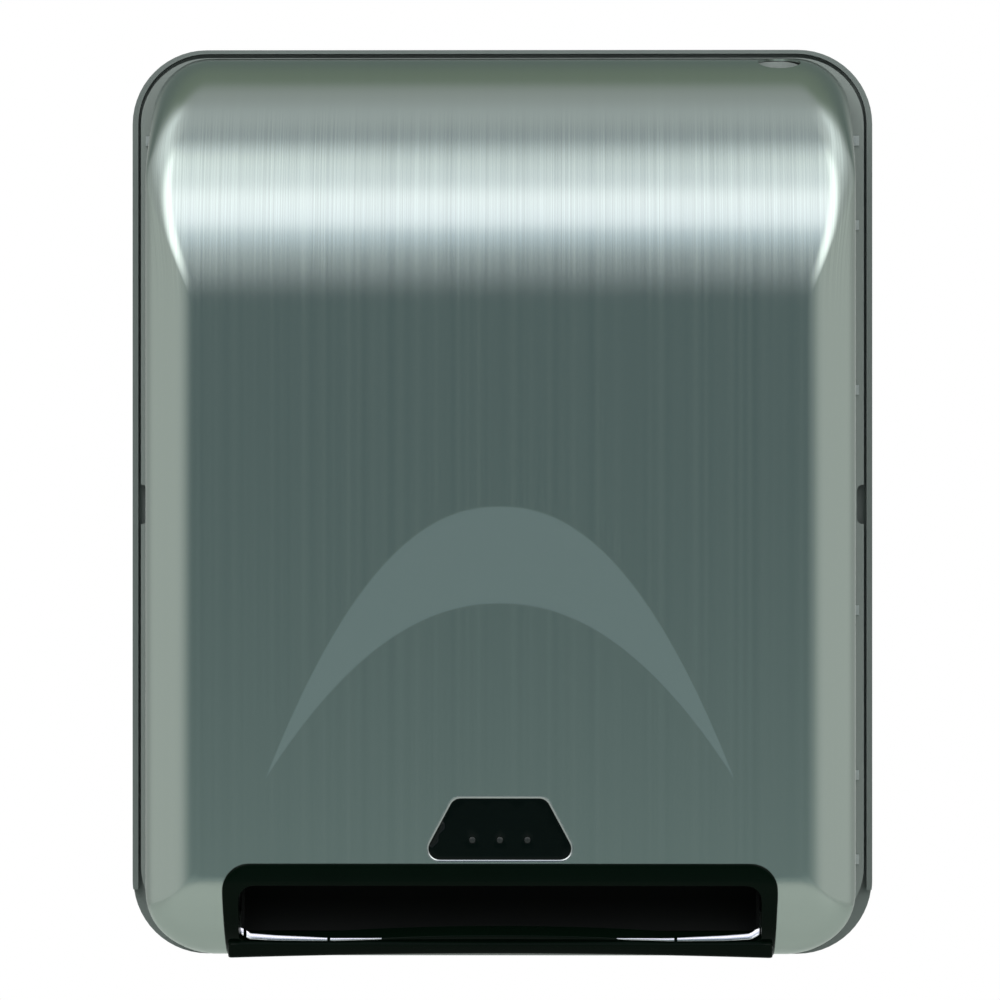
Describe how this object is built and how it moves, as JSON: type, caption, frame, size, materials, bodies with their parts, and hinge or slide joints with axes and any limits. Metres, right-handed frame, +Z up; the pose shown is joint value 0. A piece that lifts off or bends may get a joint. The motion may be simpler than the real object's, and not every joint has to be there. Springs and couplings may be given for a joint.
{
  "type": "automatic roll towel dispenser",
  "caption": "Recessed touch-free roll towel dispenser with a hinged brushed steel door, black mouth, roll arms and a motor-driven feed module",
  "frame": {"origin": "centre of the four wall screw holes, on the rear face of the tub's back", "axes": "+Z up; +Y into the wall, so the door faces -Y; +X to the right seen from the front"},
  "size_m": [0.338, 0.2042, 0.4132],
  "materials": {
    "door_steel": "fine vertical brushed grain, satin",
    "door_plastic": "moulded mid grey, fine texture",
    "tub_plastic": "moulded dark grey, fine texture",
    "bezel_black": "gloss black",
    "window_black": "dark infrared-clear plastic",
    "trim_silver": "bright silver",
    "lens_milk": "milky lens",
    "zinc_steel": "zinc plated",
    "spring_steel": "drawn wire",
    "blade_steel": "stainless, ground",
    "arm_plastic": "moulded light grey",
    "hub_plastic": "moulded blue",
    "module_plastic": "moulded charcoal",
    "roller_rubber": "ground rubber",
    "gear_plastic": "natural acetal",
    "motor_can": "drawn steel can",
    "circuit_green": "solder mask",
    "component_black": "moulded parts",
    "cell_jacket": "printed jacket, bare of words",
    "contact_metal": "nickel plated",
    "box_plastic": "moulded grey",
    "panel_plastic": "fine texture, dark",
    "button_blue": "gloss blue",
    "slider_white": "moulded white",
    "lead_jacket": "soft sheath",
    "grommet_rubber": "soft rubber",
    "lock_chrome": "plated"
  },
  "bodies": {
    "root": {"wall_tub": "tub_plastic", "cable_grommet": "grommet_rubber", "lock_keeper": "zinc_steel", "arm_brackets": "box_plastic", "arm_pivot_pins": "zinc_steel", "arm_springs": "spring_steel", "battery_tray": "box_plastic", "battery_cells": "cell_jacket", "battery_contacts": "contact_metal", "control_box": "box_plastic", "control_panel": "panel_plastic", "main_board": "circuit_green", "board_parts": "component_black", "left_side_plate": "module_plastic", "right_side_plate": "module_plastic", "module_base": "module_plastic", "chute_floor": "module_plastic", "throat_guard": "module_plastic", "tear_bar": "blade_steel", "entry_guide": "module_plastic", "drive_bushes": "gear_plastic", "idler_axle": "zinc_steel", "feed_motor": "motor_can", "gear_cover": "module_plastic", "sensor_board": "circuit_green", "sensor_parts": "component_black", "pinch_springs": "spring_steel", "motor_lead": "lead_jacket", "hinge_pins": "zinc_steel", "chassis_screws": "zinc_steel"},
    "door": {"door_frame": "door_plastic", "door_skin": "door_steel", "skin_clips": "zinc_steel", "mouth_bezel": "bezel_black", "bezel_screws": "zinc_steel", "sensor_window": "window_black", "window_ring": "trim_silver", "indicator_lenses": "lens_milk", "lock_barrel": "lock_chrome", "lock_nut": "zinc_steel"},
    "lock": {"lock_plug": "lock_chrome", "lock_cam": "zinc_steel"},
    "left_arm": {"left_roll_arm": "arm_plastic"},
    "right_arm": {"right_roll_arm": "arm_plastic"},
    "left_hub": {"left_roll_hub": "hub_plastic"},
    "right_hub": {"right_roll_hub": "hub_plastic"},
    "drive": {"drive_shaft": "zinc_steel", "drive_roller": "roller_rubber", "drive_gear": "gear_plastic"},
    "idler": {"idler_gear": "gear_plastic"},
    "motor_rotor": {"motor_pinion": "gear_plastic"},
    "carrier": {"pinch_carrier": "arm_plastic"},
    "pinch": {"pinch_roller": "roller_rubber", "pinch_shaft": "zinc_steel"},
    "button": {"feed_button": "button_blue"},
    "lid": {"battery_lid": "panel_plastic"},
    "length_knob": {"length_slider": "slider_white"},
    "delay_knob": {"delay_slider": "slider_white"},
    "range_knob": {"range_slider": "slider_white"},
    "lever": {"roll_lever": "arm_plastic"}
  },
  "joints": [
    {"name": "door_hinge", "type": "hinge", "parent": "root", "child": "door", "pos_m": [0, -0.113, -0.1952], "axis": [1, 0, 0], "range_deg": [0, 82]},
    {"name": "lock_turn", "type": "hinge", "parent": "door", "child": "lock", "pos_m": [0.126, -0.128, 0.185], "axis": [0, 0, 1], "range_deg": [0, 90]},
    {"name": "left_arm_swing", "type": "hinge", "parent": "root", "child": "left_arm", "pos_m": [-0.121, -0.013, 0.092], "axis": [0, 0, 1], "range_deg": [-10, 0], "stiffness_Nm_per_rad": 0.6, "springref_deg": 11.46},
    {"name": "right_arm_swing", "type": "hinge", "parent": "root", "child": "right_arm", "pos_m": [0.121, -0.013, 0.092], "axis": [0, 0, 1], "range_deg": [0, 10], "stiffness_Nm_per_rad": 0.6, "springref_deg": -11.46},
    {"name": "left_hub_spin", "type": "hinge", "parent": "left_arm", "child": "left_hub", "pos_m": [-0.1, -0.101, 0.092], "axis": [1, 0, 0], "continuous": true},
    {"name": "right_hub_spin", "type": "hinge", "parent": "right_arm", "child": "right_hub", "pos_m": [0.1, -0.101, 0.092], "axis": [1, 0, 0], "continuous": true},
    {"name": "drive_roller_spin", "type": "hinge", "parent": "root", "child": "drive", "pos_m": [0, -0.15, -0.112], "axis": [1, 0, 0], "continuous": true},
    {"name": "idler_spin", "type": "hinge", "parent": "root", "child": "idler", "pos_m": [0.125, -0.1239, -0.12417], "axis": [1, 0, 0], "continuous": true},
    {"name": "motor_spin", "type": "hinge", "parent": "root", "child": "motor_rotor", "pos_m": [0.125, -0.10162, -0.13977], "axis": [1, 0, 0], "continuous": true},
    {"name": "pinch_carrier_swing", "type": "hinge", "parent": "root", "child": "carrier", "pos_m": [0, -0.178, -0.092], "axis": [1, 0, 0], "range_deg": [-10, 0], "stiffness_Nm_per_rad": 0.8, "springref_deg": 17.19},
    {"name": "pinch_spin", "type": "hinge", "parent": "carrier", "child": "pinch", "pos_m": [0, -0.1763, -0.112], "axis": [1, 0, 0], "continuous": true},
    {"name": "feed_button_press", "type": "slide", "parent": "root", "child": "button", "axis": [0, 1, 0], "range_m": [0, 0.0025], "stiffness_N_per_m": 250, "springref_m": -0.001},
    {"name": "battery_lid_hinge", "type": "hinge", "parent": "root", "child": "lid", "pos_m": [-0.066, -0.0446, -0.0861], "axis": [1, 0, 0], "range_deg": [0, 75]},
    {"name": "length_slide", "type": "slide", "parent": "root", "child": "length_knob", "axis": [1, 0, 0], "range_m": [-0.004, 0.004]},
    {"name": "delay_slide", "type": "slide", "parent": "root", "child": "delay_knob", "axis": [1, 0, 0], "range_m": [-0.004, 0.004]},
    {"name": "range_slide", "type": "slide", "parent": "root", "child": "range_knob", "axis": [1, 0, 0], "range_m": [-0.004, 0.004]},
    {"name": "roll_lever_swing", "type": "hinge", "parent": "root", "child": "lever", "pos_m": [-0.03, -0.009, -0.003], "axis": [1, 0, 0], "range_deg": [0, 32]}
  ],
  "couplings": [
    {"joint": "idler_spin", "follows": "drive_roller_spin", "ratio": -3},
    {"joint": "motor_spin", "follows": "drive_roller_spin", "ratio": 9},
    {"joint": "pinch_spin", "follows": "drive_roller_spin", "ratio": -1.6}
  ]
}
